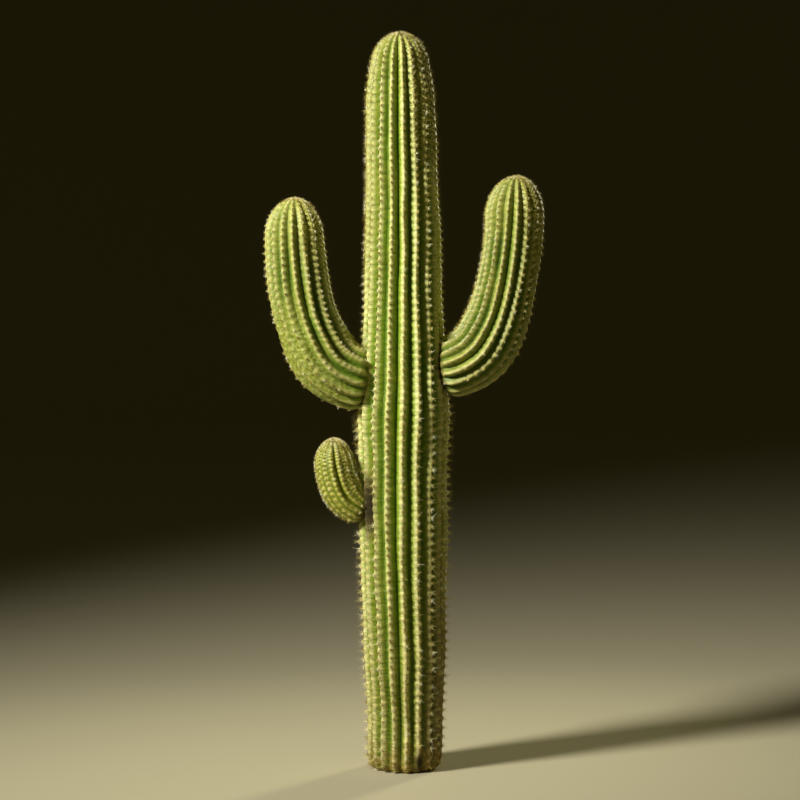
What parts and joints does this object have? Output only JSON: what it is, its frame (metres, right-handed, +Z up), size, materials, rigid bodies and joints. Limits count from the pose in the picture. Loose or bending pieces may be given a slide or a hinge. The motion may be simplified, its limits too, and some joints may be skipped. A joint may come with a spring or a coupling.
{
  "type": "saguaro cactus",
  "caption": "Tall ribbed columnar cactus with a rounded top, upturned side arms and a short young arm, cut flat at ground level.",
  "frame": {"origin": "middle of the trunk's flat cut at ground level", "axes": "+Z up along the trunk, -Y toward the viewer of the picture, +X to the right of the picture"},
  "size_m": [1.5072, 0.5036, 4],
  "materials": {
    "trunk_skin": "waxy",
    "arm_skin": "waxy",
    "young_arm_skin": "waxy"
  },
  "bodies": {
    "root": {"trunk": "trunk_skin", "left_arm_elbow": "arm_skin", "left_arm_upper": "arm_skin", "right_arm_elbow": "arm_skin", "right_arm_upper": "arm_skin", "young_arm": "young_arm_skin"}
  },
  "joints": []
}
